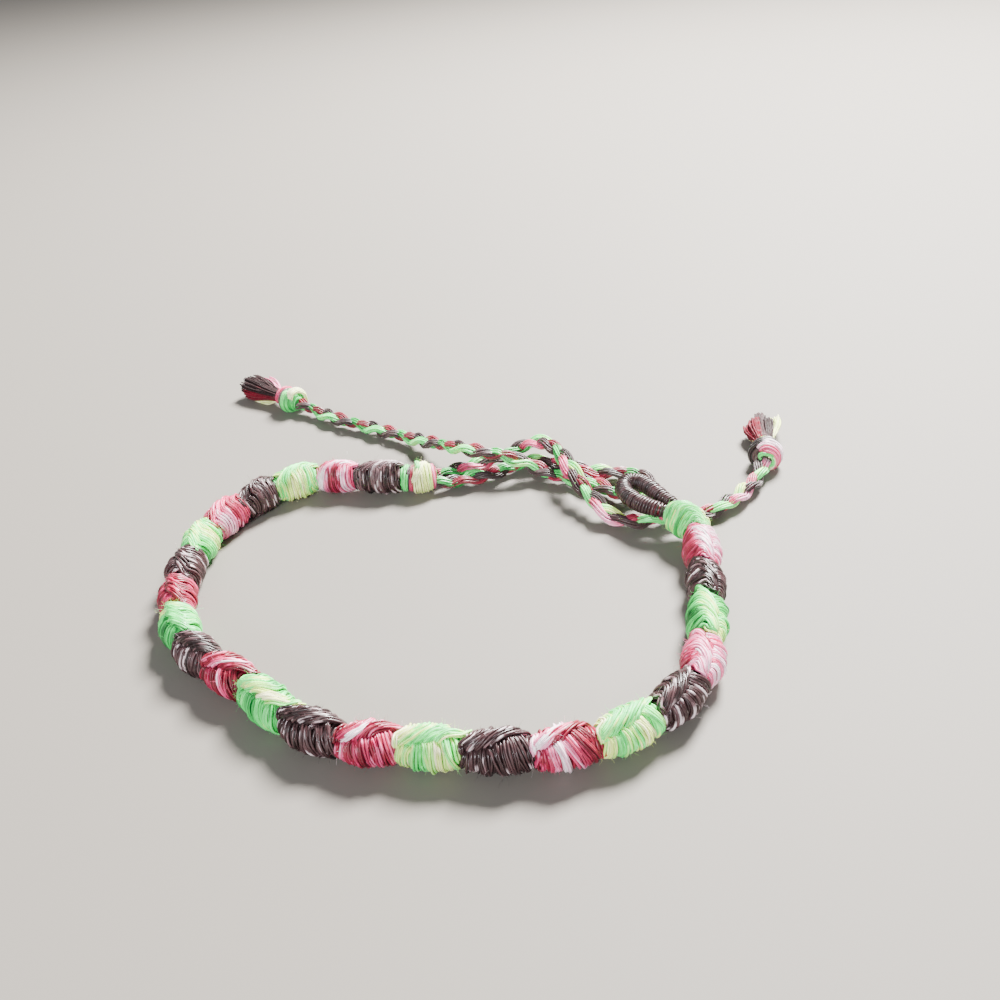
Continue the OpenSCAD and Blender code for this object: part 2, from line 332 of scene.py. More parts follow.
def fuzz(threads, lines, outward, colour, hairs):
    """Fine loose fibres that stand off the plies."""
    t, n, _ = lines.shape
    pick, at = rng.integers(0, t, hairs), rng.integers(1, n - 1, hairs)
    root = lines[pick, at]
    out = np.broadcast_to(outward, lines.shape)[pick, at]
    along = unit(lines[pick, at + 1] - lines[pick, at - 1])
    way = unit(out + along * rng.normal(0, 1.0, (hairs, 1)) + rng.normal(0, 0.45, (hairs, 3)))
    bend = rng.normal(0, 0.5, (hairs, 3))
    length = rng.uniform(0.35, 1.0, (hairs, 1)) * FIBRE_REACH
    s = np.linspace(0, 1, 5)[None, :, None]
    straight = root[:, None] + way[:, None] * length[:, None] * s
    hair = straight + bend[:, None] * length[:, None] * s * s * 0.6
    # A hair near the surface that the object lies on is left out
    keep = (root[:, 2] > 0.5) & (hair[:, :, 2].min(1) > 0.05)
    tints = np.broadcast_to(np.asarray(colour, float), lines.shape)[pick, at][:, None]
    radius = FIBRE_R * (1 - 0.6 * s[..., 0])
    flat = np.broadcast_to(UP + 0.3 * rng.normal(0, 1, 3), hair.shape)
    threads.sweep(hair[keep], flat[keep], np.broadcast_to(radius, hair.shape[:2])[keep],
                  np.broadcast_to(tints, hair.shape)[keep], sides=3)


# Materials

def node(tree, kind, **values):
    """A new node with these properties."""
    made = tree.nodes.new(kind)
    for key, value in values.items():
        setattr(made, key, value)
    return made


def set_inputs(made, values):
    """Sets a node's inputs by their names."""
    for key, value in values.items():
        made.inputs[key].default_value = value


def new_material(name):
    """A material, its node tree and its shader."""
    material = bpy.data.materials.new(name)
    material.use_nodes = True
    return material, material.node_tree, material.node_tree.nodes["Principled BSDF"]


def noise(tree, place, scale, detail):
    """Noise over the points that the socket place gives."""
    made = node(tree, "ShaderNodeTexNoise")
    set_inputs(made, {"Scale": scale, "Detail": detail})
    tree.links.new(place, made.inputs["Vector"])
    return made.outputs["Fac"]


def spread(tree, value, given, wanted):
    """The socket's values brought from the range given to the range wanted."""
    made = node(tree, "ShaderNodeMapRange")
    set_inputs(made, {"From Min": given[0], "From Max": given[1]})
    set_inputs(made, {"To Min": wanted[0], "To Max": wanted[1]})
    tree.links.new(value, made.inputs["Value"])
    return made.outputs["Result"]


def scaled(tree, colour, factor):
    """A colour's socket times a number's."""
    made = node(tree, "ShaderNodeVectorMath", operation="SCALE")
    tree.links.new(colour, made.inputs[0])
    tree.links.new(factor, made.inputs["Scale"])
    return made.outputs["Vector"]


def times_plus(tree, value, factor, plus=None):
    """The socket's values times a fixed factor, plus another socket's where one is given."""
    made = node(tree, "ShaderNodeMath", operation="MULTIPLY" if plus is None else "MULTIPLY_ADD")
    made.inputs[1].default_value = factor
    tree.links.new(value, made.inputs[0])
    if plus is not None:
        tree.links.new(plus, made.inputs[2])
    return made.outputs[0]


def thread_material(name, roughness, sheen, index, grain, brushed):
    """Mercerised cotton: dyed unevenly, two fine yarns twisted in every ply."""
    material, tree, shader = new_material(name)
    link = tree.links.new
    set_inputs(shader, {"Sheen Weight": sheen, "Sheen Roughness": 0.35, "Specular IOR Level": 0.7})
    set_inputs(shader, {"IOR": index, "Anisotropic": brushed})
    place = node(tree, "ShaderNodeTexCoord").outputs["Object"]
    ply = node(tree, "ShaderNodeUVMap", uv_map="ply").outputs["UV"]

    # Patches of deeper and paler dye
    dye = node(tree, "ShaderNodeAttribute", attribute_name="tint").outputs["Color"]
    patches = spread(tree, noise(tree, place, 1400.0, 3.0), (0.0, 1.0), (0.68, 1.32))
    dye = scaled(tree, dye, patches)

    # Gloss that runs across the thread and comes and goes
    across = node(tree, "ShaderNodeTangent", direction_type="UV_MAP", uv_map="ply")
    link(across.outputs["Tangent"], shader.inputs["Tangent"])
    gleam = noise(tree, place, 1700.0, 1.0)
    gloss = spread(tree, gleam, (0.35, 0.65), (0.75 * roughness, 1.5 * roughness))
    link(gloss, shader.inputs["Roughness"])

    # Streaks drawn out along the thread
    drawn = node(tree, "ShaderNodeMapping")
    drawn.inputs["Scale"].default_value = (0.5, 9.0, 1.0)
    link(ply, drawn.inputs["Vector"])
    mixed = node(tree, "ShaderNodeVectorMath", operation="MULTIPLY_ADD")
    mixed.inputs[1].default_value = (300.0, 300.0, 300.0)
    link(place, mixed.inputs[0])
    link(drawn.outputs["Vector"], mixed.inputs[2])
    streaks = noise(tree, mixed.outputs["Vector"], 1.0, 2.0)
    silk = spread(tree, streaks, (0.3, 0.7), (0.62, 1.35))
    link(scaled(tree, dye, silk), shader.inputs["Base Color"])

    # The twist of the two yarns, and the streaks' relief
    parts = node(tree, "ShaderNodeSeparateXYZ")
    link(ply, parts.inputs[0])
    lay = times_plus(tree, parts.outputs["X"], 2 * math.pi / YARN_LAY)
    twist = times_plus(tree, parts.outputs["Y"], 4 * math.pi, lay)
    yarn = node(tree, "ShaderNodeMath", operation="SINE")
    link(twist, yarn.inputs[0])
    bump = node(tree, "ShaderNodeBump")
    set_inputs(bump, {"Strength": grain, "Distance": 0.03 * MM})
    link(times_plus(tree, yarn.outputs[0], 0.15, streaks), bump.inputs["Height"])
    link(bump.outputs["Normal"], shader.inputs["Normal"])
    return material


def floor_material():
    material, _, shader = new_material("floor")
    set_inputs(shader, {"Base Color": (*linear((121, 116, 109)), 1), "Roughness": 0.7})
    return material


def core_material():
    """The strands inside the band, of deeper and paler dye."""
    material, tree, shader = new_material("core_thread")
    shader.inputs["Roughness"].default_value = 0.6
    place = node(tree, "ShaderNodeTexCoord").outputs["Object"]
    # A colour mix has its colours at inputs 6 and 7, and the mixed one at output 2
    mix = node(tree, "ShaderNodeMix", data_type="RGBA")
    mix.inputs[6].default_value = (*linear((70, 32, 34)), 1)
    mix.inputs[7].default_value = (*linear((176, 128, 120)), 1)
    tree.links.new(noise(tree, place, 900.0, 3.0), mix.inputs[0])
    tree.links.new(mix.outputs[2], shader.inputs["Base Color"])
    return material


# Roughness, sheen, index of refraction, depth of the grain, and how brushed the gloss is
FINISHES = {
    "green": (0.42, 0.08, 1.42, 0.4, 0.4),
    "pink": (0.38, 0.06, 1.46, 0.35, 0.3),
    "brown": (0.32, 0.02, 1.42, 0.3, 0.3),
    "mixed": (0.42, 0.15, 1.5, 0.35, 0.5),
    "cut": (0.7, 0.1, 1.3, 0.4, 0.0),
}
COTTON = {kind: thread_material("cotton_" + kind, *finish) for kind, finish in FINISHES.items()}
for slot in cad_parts["core"].material_slots:
    slot.material = core_material()


def take_place(piece, cad_node):
    """Has a piece stand for a CAD solid: it hangs from the root body, and the solid is hidden."""
    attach(piece, "root")
    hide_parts(cad_node)
    return piece


# Ties

# A strand's plies and their radius, and the step between the points along it
BRAID_PLIES = 9
BRAID_PLY_R = 0.145
BRAID_STEP = 0.42
# A strand's half width and half thickness, how far it swings aside, and how high it crosses
STRAND_WIDE = 0.48
STRAND_THICK = 0.33
SWING = 0.56
CROSSING = 0.38
# Where along a tie it has grown to its full width
ROOT_LENGTH = 3.0


def braid(name, route, period, start, strands):
    """Three strands that cross over each other along a tie's route.

    strands: colour, how far they keep to one side, tones at even steps of the tie's length,
    and what the tone gains at either side of the tie.
    """
    threads = Threads()
    line, at = even_line(route, BRAID_STEP)
    along = unit(np.gradient(line, axis=0))
    along[0] = TIES_AIM
    side = unit(np.cross(along, UP))
    over = np.cross(side, along)
    size = (TIE_ROOT_D + (TIE_D - TIE_ROOT_D) * smooth(at / ROOT_LENGTH)) / TIE_D
    part = at / at[-1]
    for j, (colour, lean, tones, gains) in enumerate(strands):
        turn = start + 2 * np.pi * (at / period + j / len(strands)) + drift(len(at), 0.12, 16)
        across = (lean + (SWING - abs(lean)) * np.sin(turn)) * size
        lift = CROSSING * np.sin(2 * turn) * size
        path = line + across[:, None] * side + lift[:, None] * over
        lines, out = bundle(path, over, BRAID_PLIES, STRAND_WIDE, STRAND_THICK,
                            at[-1] / 20, rng.uniform(0, 6), 0.04)
        shade = np.interp(part, np.linspace(0, 1, len(tones)), tones)
        shade = shade + np.interp(across, (-0.7, 0, 0.7), (gains[0], 0, gains[1]))
        shade = shade + drift(len(at), 0.05, 20)
        colours = tint(colour, shade[None] + rng.normal(0, 0.07, (BRAID_PLIES, 1)))
        threads.sweep(lines, out, BRAID_PLY_R, colours, sides=4)
        fuzz(threads, lines, np.broadcast_to(over, line.shape), colours, int(at[-1] * 1.8))
    return threads.make(name, COTTON["mixed"]), line


# The length in which a tie's strands cross over each other once round, and their first angle
PERIOD_A, START_A = 9.2, 1.76
PERIOD_B, START_B = 8.9, 2.4
TIE_A_STRANDS = [
    ("brown", 0.0, (0.2, 0.25, 0.18, 0.25, 0.2), (0.0, 0.15)),
    ("pink", 0.12, (0.2, 0.12, 0.2, 0.32, 0.4), (-0.1, 0.6)),
    ("green", -0.12, (0.15, 0.2, 0.4, 0.5, 0.55), (0.45, 0.1)),
]
TIE_B_STRANDS = [
    ("brown", 0.0, (0.2, 0.25, 0.2, 0.24, 0.16, 0.14, 0.12), (0.22, 0.0)),
    ("pink", 0.22, (0.2, 0.25, 0.15, 0.25, 0.14, 0.12, 0.1), (-0.1, 0.1)),
    ("green", -0.2, (0.12, 0.12, 0.2, 0.22, 0.12, 0.1, 0.1), (0.44, -0.1)),
]


# Runs of knots

# A run's locks of thread, and the plies of one
LOCKS_A_RUN = 16
LOCK_PLIES = 4
# How deep the middle of a lock lies below the surface
LOCK_INSET = 0.26
# The layer wound below the locks: its turns, its thread's radius, how deep it lies at a run's
# middle, and how much less at the ends
BELOW_TURNS = 16
BELOW_R = 0.22
BELOW_INSET = 0.42
BELOW_RISE = 0.16
# How much of the wraps' tone the layer below them has: a deeper tone, painted shade under the
# locks
BELOW_PAINTED_SHADE = {"green": 0.6, "pink": 0.5, "brown": 0.5}
# How much paler a thread is painted in its glints: painted highlights along stretches of its plies
PAINTED_GLINT = {"green": 0.2, "pink": 0.3, "brown": 0.65}
# A crossing strand's reach along its run
BAR = 0.44
# How far the first crossing strands lie over the run before as a nose, or start inside
# the run where it is negative, and where along the run its first wraps meet the ridge
SHAPE = (0.14, 0.06)
SHAPES = {
    1: (0.05, 0.1), 2: (0.05, 0.12), 3: (0.05, 0.1), 4: (0.08, 0.2), 5: (0.0, 0.15),
    6: (0.0, 0.2), 7: (0.04, 0.18), 8: (-0.2, 0.34), 9: (-0.1, 0.18), 10: (0.12, 0.1),
    11: (0.05, 0.15), 12: (0.0, 0.15), 13: (0.24, 0.1), 14: (0.1, 0.2), 15: (0.16, 0.1),
    16: (0.18, 0.1), 17: (0.1, 0.15), 18: (0.16, 0.1), 22: (0.0, 0.2), 23: (-0.1, 0.3),
    24: (0.0, 0.1),
}
# Where the last crossing strands lie, where the last wraps meet the ridge,
# and how far the wraps fan out below it
LAST_BAR = 1.15
LAST_TOP = 0.95
FAN_FOOT = 1.08


def lock_rows(w, ridge, nose, apex):
    """Rows of u, angle and lift: over the ridge, over the back and up to the ridge again.

    Where no crossing strand covers a wrap's end, the wrap spills over the ridge.
    """
    first = BAR / 2 - nose
    bar = first + (LAST_BAR - first) * w
    foot = 0.5 + (w - 0.5) * FAN_FOOT
    back = 0.47 + (w - 0.5) * 0.98
    top = apex + (LAST_TOP - apex) * w
    spill = 50 * max(0, 1 - (top + nose) / BAR)
    return [
        (bar + BAR / 2 + 0.03, ridge - 24, -0.34),
        (bar + BAR / 2 - 0.03, ridge - 15, 0.08),
        (bar + BAR / 5, ridge - 3, 0.36),
        (bar - BAR / 6, ridge + 13, 0.42),
        (bar - BAR / 2, ridge + 33, 0.34),
        (0.6 * (bar - BAR / 2) + 0.4 * back, ridge + 58, 0.14),
        (0.2 * (bar - BAR / 2) + 0.8 * back, ridge + 92, 0.0),
        (back, ridge + 130, 0.0),
        (foot, ridge + 170, 0.0),
        (foot, ridge + 215, 0.0),
        (0.93 * foot + 0.07 * top, ridge + 255 + spill / 5, 0.02),
        (0.7 * foot + 0.3 * top, ridge + 290 + spill / 2, 0.08),
        (0.28 * foot + 0.72 * top, ridge + 322 + 0.8 * spill, 0.1),
        (top, ridge + 340 + spill, 0.02),
        (top, ridge + 352 + spill, -0.4),
    ]


def wind_below(threads, i, colour, wrap_tones):
    """The layer under run i's locks."""
    points_a_turn = 16
    u = np.linspace(0.0, 1.0, points_a_turn * BELOW_TURNS)
    inset = BELOW_INSET - BELOW_RISE * (2 * u - 1) ** 4
    path, radial = on_run(i, u, 360 * BELOW_TURNS * u, inset)
    # The layer below is painted deeper than the wraps, as painted shade under them
    tone = BELOW_PAINTED_SHADE[colour] * np.mean(wrap_tones) + drift(len(u), 0.06, 40)
    threads.sweep(path[None], radial, BELOW_R, tint(colour, tone)[None], sides=4)


def lock_tones(colour, w, n, tones):
    """Tones of a lock's plies at its n points, w of the way along its run."""
    ridge_tone, wrap_tone, back_tone = [np.interp(w, np.linspace(0, 1, len(row)), row)
                                        for row in (tones[0], tones[1], tones[-1])]
    # Which of the points are over the ridge, and which on the outer side
    at = np.linspace(0, 1, n)
    on_ridge = 1 - smooth((at - 0.27) / 0.12)
    outside = smooth((at - 0.6) / 0.15)
    wrapped = wrap_tone * outside + back_tone * (1 - outside)
    tone = ridge_tone * on_ridge + (1 - on_ridge) * wrapped
    tone = tone + drift(n, 0.07, 7) + rng.normal(0, 0.07)
    # Random stretches of each ply are painted paler, as painted highlights
    painted_glint = np.array([drift(n, 1.0, 15) for _ in range(LOCK_PLIES)])
    tone = tone + PAINTED_GLINT[colour] * smooth((painted_glint - 0.9) / 0.4)
    return tone + rng.normal(0, 0.08, (LOCK_PLIES, 1))


def wound_run(i):
    """Locks side by side: each crosses the ridge, goes round the back and dives under it."""
    colour = COLOURS[(i - 1) % 3]
    threads = Threads()
    tones = RUN_TONES.get(i, PLAIN_TONES[colour])
    nose, apex = SHAPES.get(i, SHAPE)
    wind_below(threads, i, colour, tones[1])
    # Points along a lock: closer over the ridge, rows 0 to 5, than on the rest
    s = np.r_[np.linspace(0, 5, 17)[:-1], np.linspace(5, 14, 26)]
    # The first run has no run before it to lie over
    first_u = -max(nose, 0) - 0.02 if i > 1 else 0.01
    for k in range(LOCKS_A_RUN):
        w = (k + 0.5) / LOCKS_A_RUN + rng.normal(0, 0.014)
        ridge = RIDGE_FROM - RIDGE_TURN * w + rng.normal(0, 2.5)
        u, phi, rise = curve(lock_rows(w, ridge, nose, apex), s).T
        u = u + drift(len(s), 0.022, 8)
        phi = phi + drift(len(s), 1.5)
        rise = rise + drift(len(s), 0.07, 11) + rng.uniform(-0.07, 0.09)
        u = np.clip(u, first_u, 0.99)
        path, radial = on_run(i, u, phi, LOCK_INSET - rise)
        wide, thick = rng.uniform(0.15, 0.24), rng.uniform(0.09, 0.14)
        turns, start = rng.uniform(0.4, 1.1), rng.uniform(0, 6)
        lines, out = bundle(path, radial, LOCK_PLIES, wide, thick, turns, start, 0.05)
        colours = tint(colour, lock_tones(colour, w, len(s), tones))
        threads.sweep(lines, out, PLY_R, colours, sides=4)
        fuzz(threads, lines, radial, colours, 9)
    piece = threads.make("run_%02d" % i, COTTON[colour])
    return take_place(piece, "knots_%02d_%s" % (i, colour))


# Tones of the runs, charted from each one's start to its end: the crossing
# strands, the wraps on the outer side, and those on the inner side where they differ
PLAIN_TONES = {
    "green": ((0.35, 0.5), (0.25, 0.5, 0.35, 0.55, 0.35)),
    "pink": ((0.05, 0.25, 0.1), (0.25, 0.12, 0.4, 0.12, 0.3)),
    "brown": ((0.25, 0.15), (0.25, 0.4, 0.2, 0.35, 0.3)),
}
RUN_TONES = {
    # Run 1's inner side mixes pale yellow tones with deep ones, the deep ones a painted shade
    1: ((0.6, 0.35, 0.45), (0.4, 0.3, 0.5, 0.9, 0.4), (0.72, 0.1, 0.7, 0.1, 0.55, 0.05)),
    2: ((0.3, 0.85, 0.9, 0.4), (0.8, 0.9, 0.7, 0.7, 0.5), (0.15, 0.3, 0.15, 0.3, 0.15)),
    3: ((0.15, 0.1), (0.3, 0.2, 0.35, 0.25, 0.35), (0.25, 0.3, 0.2)),
    # Run 4's inner side takes the deepest tones as painted shade
    4: ((0.3, 0.65, 0.75, 0.3), (0.15, 0.25, 0.35, 0.55, 0.75), (0.05, 0.08, 0.04, 0.06, 0.1)),
    5: ((0.35, 0.6, 0.85, 0.75), (0.82, 0.62, 0.7, 0.85, 0.58), (0.5, 0.65, 0.45, 0.6)),
    7: ((0.5, 0.38, 0.45, 0.6), (0.5, 0.78, 0.85, 0.68, 0.45, 0.68, 0.82)),
    8: ((0.12, 0.4, 0.95, 0.9, 0.6), (0.16, 0.24, 0.4, 0.9, 0.75, 0.42, 0.38, 0.1)),
    10: ((0.5, 0.3, 0.5, 0.85, 0.85), (0.28, 0.8, 0.72, 0.4, 0.6, 0.85)),
    11: ((0.03, 0.35, 0.75, 0.15, 0.03), (0.15, 0.45, 0.1, 0.55, 0.08, 0.2, 0.05, 0.7, 0.05)),
    13: ((0.5, 0.85, 0.55, 0.7, 0.25), (0.2, 0.35, 0.12, 0.2, 0.3)),
    14: ((0.1, 0.02, 0.85, 0.1, 0.02, 0.0), (0.05, 0.0, 0.35, 0.0, 0.2, 0.0, 0.08)),
    15: ((0.1, 0.05), (0.45, 0.3, 0.45, 0.35)),
    16: ((0.3, 0.4, 0.7), (0.15, 0.1, 0.3, 0.85), (0.35, 0.3, 0.35)),
    17: ((0.05, 0.35, 0.03), (0.3, 0.06, 0.25, 0.6), (0.5, 0.1, 0.45)),
    19: ((0.45, 0.6, 0.35), (0.3, 0.5, 0.4), (0.25, 0.45, 0.75, 0.3)),
    20: ((0.15, 0.5, 0.2), (0.2, 0.4, 0.2), (0.3, 0.85, 0.3, 0.5)),
    22: ((0.4, 0.45, 0.45), (0.5, 0.7, 0.5), (0.35, 0.7, 0.8, 0.7, 0.35)),
    23: ((0.4, 0.85, 0.4), (0.3, 0.2, 0.4), (0.75, 0.95, 0.08, 0.2, 0.9, 0.4)),
    24: ((0.2, 0.9, 0.2), (0.3, 0.2, 0.4), (0.2, 0.6, 0.1, 0.25, 0.95, 0.15, 0.1, 0.6, 0.1)),
}


# Closure loop

# The distance between the turns of thread round the cord, the thread's radius, and how deep
# its middle and the cord's surface lie
LOOP_PITCH = 0.35
LOOP_THREAD_R = 0.19
LOOP_INSET = 0.16
LOOP_CORD_INSET = 0.2


def closure_loop():
    """A cord bound closely with thread."""
    threads = Threads()
    inward = unit(curve(BAND, 0.04) - curve(BAND, 0.0))
    root = BAND[0] - inward * RUN_GAP
    across = unit(np.cross(UP, inward)) * LEG_SIDE
    rows = [(*(root + across), 0.0), *LOOP, (*(root - across), 0.0)]
    fine = curve(rows, np.linspace(0, len(rows) - 1, 600))
    run = np.r_[0, np.cumsum(np.linalg.norm(np.diff(fine[:, :3], axis=0), axis=1))]
    turns = int(run[-1] / LOOP_PITCH)
    points_a_turn = 12
    at = np.linspace(0.02, run[-1] - 0.02, turns * points_a_turn)
    wound = np.stack([np.interp(at, run, fine[:, k]) for k in range(4)], 1)
    line, share = wound[:, :3], np.clip(wound[:, 3], 0, 1)
    along = unit(np.gradient(line, axis=0))
    side = unit(np.cross(along, UP))
    over = np.cross(side, along)
    radius = (LEG_D + (LOOP_D - LEG_D) * share) / 2
    turn = 2 * np.pi * turns * np.linspace(0, 1, len(at))
    radial = np.cos(turn)[:, None] * side + np.sin(turn)[:, None] * over
    rise = np.interp(turn, np.arange(turns + 2) * 2 * np.pi, rng.normal(0, 0.04, turns + 2))
    path = line + (radius - LOOP_INSET + rise)[:, None] * radial
    tone = 0.18 + drift(len(at), 0.14, 90)
    colours = tint("brown", tone[None])
    threads.sweep(path[None], radial, LOOP_THREAD_R, colours, sides=6)
    fuzz(threads, path[None], radial, colours, 60)
    # The cord inside, at every seventh point
    inner = (radius - LOOP_CORD_INSET)[None, ::7]
    threads.sweep(line[None, ::7], over[None, ::7], inner, tint("pink", 0.0), sides=8)
    return take_place(threads.make("loop_binding", COTTON["brown"]), "closure_loop")


# Knots

# How deep the middle of a strand and the surface of the solid inside lie
STRAND_INSET = 0.3
KNOT_CORE_INSET = 0.4


def bead_path(rows, d, ends, u, phi, inset):
    """Points on a knot's rounded form, at u along it and phi degrees round it."""
    s = np.clip(u, 0, 1) * (len(rows) - 1)
    line = curve(rows, s)
    ahead = curve(rows, np.minimum(s + 0.02, len(rows) - 1))
    along = unit(ahead - curve(rows, np.maximum(s - 0.02, 0)))
    side = unit(np.cross(along, UP))
    over = np.cross(side, along)
    base = ends[0] + (ends[1] - ends[0]) * u
    bulge = np.maximum(np.sin(np.pi * np.clip(u, 0, 1)), 0) ** 0.6
    radius = (base + (d - base) * bulge) / 2 - inset
    turn = np.radians(phi)[..., None]
    radial = np.cos(turn) * side + np.sin(turn) * over
    return line + radius[..., None] * radial, radial


def knot(name, rows, d, ends, below, turns, cad_node):
    """Strands wound round a knot, over a layer wound below them.

    rows: points of its middle line. d, ends: its width, and that of its two faces.
    below: colour and tone of the layer below.
    turns: colour, tone, start and end along it, first angle, sweep, lift, width.
    """
    threads = Threads()
    u = np.linspace(0, 1, 8)
    line = curve(rows, u * (len(rows) - 1))
    core = (ends[0] + (d - ends[0]) * np.sin(np.pi * u) ** 0.6) / 2 - KNOT_CORE_INSET
    threads.sweep(line[None], UP, np.maximum(core, 0.5)[None], tint(*below), sides=10)
    round_it = (*below, 0.0, 1.0, 0, 1800, -0.18, 0.3)
    for colour, tone, first, final, phi_from, sweep_deg, lift, wide in [round_it] + turns:
        n = max(12, int(abs(sweep_deg) / 10))
        t = np.linspace(0, 1, n)
        u = first + (final - first) * t
        phi = phi_from + sweep_deg * t
        # A strand's two ends go down into the knot
        bury = 0.4 * (1 - smooth(np.minimum(t, 1 - t) / 0.16))
        path, radial = bead_path(rows, d, ends, u, phi, STRAND_INSET - lift + bury)
        lines, out = bundle(path, radial, PLIES, wide, 0.55 * wide,
                            sweep_deg / 700, rng.uniform(0, 6), 0.03)
        shade = tone + drift(n, 0.06, 5)
        colours = tint(colour, shade[None] + rng.normal(0, 0.06, (PLIES, 1)))
        threads.sweep(lines, out, PLY_R, colours)
        fuzz(threads, lines, radial, colours, 12)
    return take_place(threads.make(name, COTTON["mixed"]), cad_node)


# Turns from the last run to the ties, two over the knot's top, and four that wind its end shut
END_KNOT_TURNS = [
    ("green", 0.3, 0.03, 0.07, 0, 400, 0.0, 0.25),
    ("green", 0.4, 0.13, 0.17, 40, 400, 0.1, 0.28),
    ("brown", 0.2, 0.24, 0.26, 80, 380, -0.05, 0.15),
    ("pink", 0.3, 0.31, 0.34, 120, 400, 0.0, 0.18),
    ("green", 0.9, 0.42, 0.47, 160, 400, 0.12, 0.3),
    ("green", 0.8, 0.54, 0.6, 200, 400, 0.15, 0.3),
    ("green", 0.92, 0.67, 0.72, 240, 400, 0.12, 0.3),
    ("green", 0.85, 0.78, 0.83, 240, 400, 0.0, 0.25),
    ("pink", 0.5, 0.9, 0.94, 240, 400, 0.0, 0.2),
    ("green", 0.95, 0.36, 0.8, 10, 150, 0.3, 0.3),
    ("green", 0.5, 0.5, 0.42, 60, 80, 0.45, 0.2),
    ("pink", 0.15, 0.97, 0.99, 200, 420, -0.3, 0.24),
    ("green", 0.35, 0.985, 1.0, 90, 420, -0.62, 0.26),
    ("brown", 0.15, 1.0, 1.0, 10, 400, -0.95, 0.26),
    ("pink", 0.25, 1.0, 1.0, 150, 400, -1.25, 0.24),
]
# A tie's knot: its turns stand a little outside the solid one. Its width, and its faces'
WOUND_KNOT_D = 1.1 * TIE_KNOT_D
WOUND_KNOT_FACES = (2.6, 2.6)
# Pink and white turns towards the tie, and dark ones towards the tassel
KNOT_A_TURNS = [
    ("green", 0.35, 0.0, 0.06, 150, -200, 0.0, 0.25),
    ("green", 0.95, 0.04, 0.1, 60, -190, 0.1, 0.22),
    ("pink", 0.6, 0.1, 0.2, 110, -240, 0.1, 0.32),
    ("pink", 0.5, 0.2, 0.32, 120, -250, 0.22, 0.34),
    ("pink", 0.97, 0.34, 0.44, 130, -260, 0.32, 0.36),
    ("pink", 1.0, 0.46, 0.56, 120, -250, 0.32, 0.36),
    ("brown", 0.05, 0.3, 0.52, 240, -170, 0.3, 0.34),
    ("brown", 0.1, 0.56, 0.66, 250, -260, 0.2, 0.34),
    ("brown", 0.2, 0.72, 0.8, 250, -260, 0.1, 0.32),
    ("green", 0.92, 0.9, 0.96, 200, -220, 0.15, 0.16),
]
# A white turn at the tie, a green one down the near side, pink at the tassel
KNOT_B_TURNS = [
    ("green", 0.3, 0.3, 0.4, 60, 250, 0.05, 0.3),
    ("green", 0.38, 0.46, 0.56, 90, 230, 0.15, 0.32),
    ("brown", 0.5, 0.6, 0.66, 60, 250, 0.05, 0.25),
    ("pink", 0.55, 0.7, 0.78, -60, 210, 0.15, 0.3),
    ("pink", 0.3, 0.84, 0.92, -40, 250, 0.05, 0.3),
    ("green", 1.0, 0.06, 0.2, -60, 200, 0.3, 0.36),
    ("green", 0.98, 0.2, 0.3, -60, 200, 0.32, 0.36),
]


# Tassels

TASSEL_THREAD_R = 0.12
# A cut thread's middle stays this high over the surface that it lies on
TASSEL_LOWEST = 0.14


def tassel(name, ends, locks, cad_node):
    """Cut threads that spread from a knot in locks.

    locks: angle round it, its spread, share of the length and of the width, colour, tone, threads.
    """
    threads = Threads()
    start, end = np.array(ends[0]), np.array(ends[1])
    along = unit(end - start)
    side = unit(np.cross(along, UP))
    over = np.cross(side, along)
    t = np.linspace(0, 1, 16)
    for place, about, length, width, colour, tone, count in locks:
        lines, keep = [], []
        for _ in range(count):
            angle = math.radians(place + rng.normal(0, about))
            out_from = math.sqrt(rng.uniform(0.05, 1))
            out_to = rng.uniform(0.55, 1) * (TASSEL_D / 2 + 0.15) * width
            reach = length * rng.uniform(0.9, 1.0)
            radius = out_from + (out_to - out_from) * smooth(t * 1.15)
            wave = 0.12 * np.sin(t * rng.uniform(3, 6) + rng.uniform(0, 6)) * t
            path = start + np.outer(t * reach, end - start)
            path = path + np.outer(radius * math.cos(angle) + wave, side)
            path = path + np.outer(radius * math.sin(angle) * 0.8 - 0.15 * t, over)
            path[:, 2] = np.maximum(path[:, 2], TASSEL_LOWEST)
            lines.append(path)
            keep.append(tint(colour, tone + rng.normal(0, 0.05) + drift(len(t), 0.04)))
        lines, colours = np.array(lines), np.array(keep)
        threads.sweep(lines, over, TASSEL_THREAD_R, colours, sides=4)
        fuzz(threads, lines, over, colours, 12)
    return take_place(threads.make(name, COTTON["cut"]), cad_node)


TASSEL_A_LOCKS = [
    (185, 20, 0.74, 1.0, "pink", 0.04, 44), (150, 18, 0.82, 0.75, "pink", 0.02, 40),
    (110, 20, 1.02, 0.42, "brown", 0.3, 40), (60, 20, 1.06, 0.32, "brown", 0.35, 40),
    (25, 14, 0.86, 0.7, "brown", 0.12, 34), (230, 20, 0.7, 0.8, "pink", 0.03, 34),
    (310, 20, 0.8, 0.7, "brown", 0.12, 30), (2, 6, 1.0, 1.15, "green", 0.85, 20),
]
TASSEL_B_LOCKS = [
    (90, 24, 1.0, 0.7, "brown", 0.16, 47), (150, 22, 0.96, 0.9, "brown", 0.12, 44),
    (200, 22, 0.86, 1.0, "pink", 0.03, 44), (40, 22, 0.95, 0.9, "brown", 0.2, 40),
    (270, 22, 0.9, 0.9, "pink", 0.04, 37), (330, 22, 0.9, 0.9, "brown", 0.12, 34),
    (15, 7, 0.8, 1.3, "pink", 0.7, 10), (235, 7, 0.66, 1.25, "green", 0.85, 8),
]


# Light and floor

def lay_floor():
    bpy.ops.mesh.primitive_plane_add(size=4.0, location=(0, 0, 0))
    floor = bpy.context.object
    floor.name = "floor"
    floor.data.materials.append(floor_material())


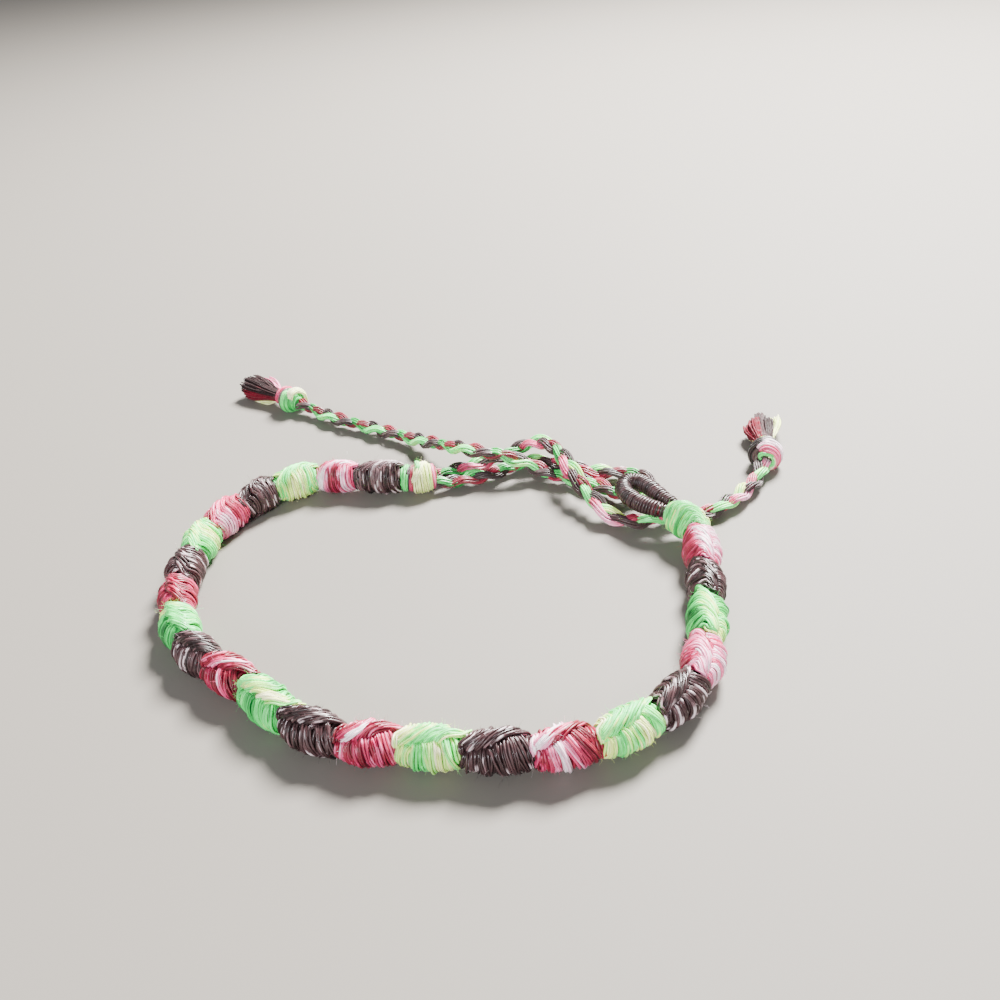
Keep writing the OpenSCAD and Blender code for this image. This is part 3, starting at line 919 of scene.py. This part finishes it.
def area_light(name, place, size, power, colour):
    """A round light that shines at the origin."""
    data = bpy.data.lights.new(name, "AREA")
    data.shape = "DISK"
    data.size = size
    data.energy = power
    data.color = colour
    lamp = bpy.data.objects.new(name, data)
    bpy.context.scene.collection.objects.link(lamp)
    lamp.location = place
    lamp.rotation_euler = (-Vector(place)).to_track_quat("-Z", "Y").to_euler()


def light_scene():
    world = bpy.data.worlds.new("studio")
    bpy.context.scene.world = world
    world.use_nodes = True
    sky = world.node_tree.nodes["Background"]
    sky.inputs["Color"].default_value = (0.93, 0.95, 1.0, 1)
    sky.inputs["Strength"].default_value = 0.38
    area_light("window", place=(0.22, 0.34, 0.40), size=0.2, power=31.0, colour=(1.0, 0.98, 0.95))
    area_light("front", place=(-0.15, -0.52, 0.26), size=0.16, power=4.0, colour=(0.95, 0.97, 1.0))


make_camera()
tie_a, line_a = braid("tie_braid_a", TIE_A, PERIOD_A, START_A, TIE_A_STRANDS)
tie_b, line_b = braid("tie_braid_b", TIE_B, PERIOD_B, START_B, TIE_B_STRANDS)
knot_a = knot("tie_knot_a", KNOT_A, WOUND_KNOT_D, WOUND_KNOT_FACES, ("brown", 0.3),
              KNOT_A_TURNS, "tie_a_knot")
knot_b = knot("tie_knot_b", KNOT_B, WOUND_KNOT_D, WOUND_KNOT_FACES, ("green", 0.2),
              KNOT_B_TURNS, "tie_b_knot")
tassel_a = tassel("tassel_a", TASSEL_A, TASSEL_A_LOCKS, "tie_a_tassel")
tassel_b = tassel("tassel_b", TASSEL_B, TASSEL_B_LOCKS, "tie_b_tassel")
for piece, line, cad_node, on_it in (
    (tie_a, line_a, "tie_a", [knot_a, tassel_a]),
    (tie_b, line_b, "tie_b", [knot_b, tassel_b]),
):
    take_place(piece, cad_node)

for i in range(1, RUNS + 1):
    wound_run(i)
closure_loop()
knot("end_knot_wraps", END_KNOT, END_KNOT_D, (PINCH_D, END_KNOT_FACE_D), ("brown", 0.3),
     END_KNOT_TURNS, "end_knot")
lay_floor()
light_scene()
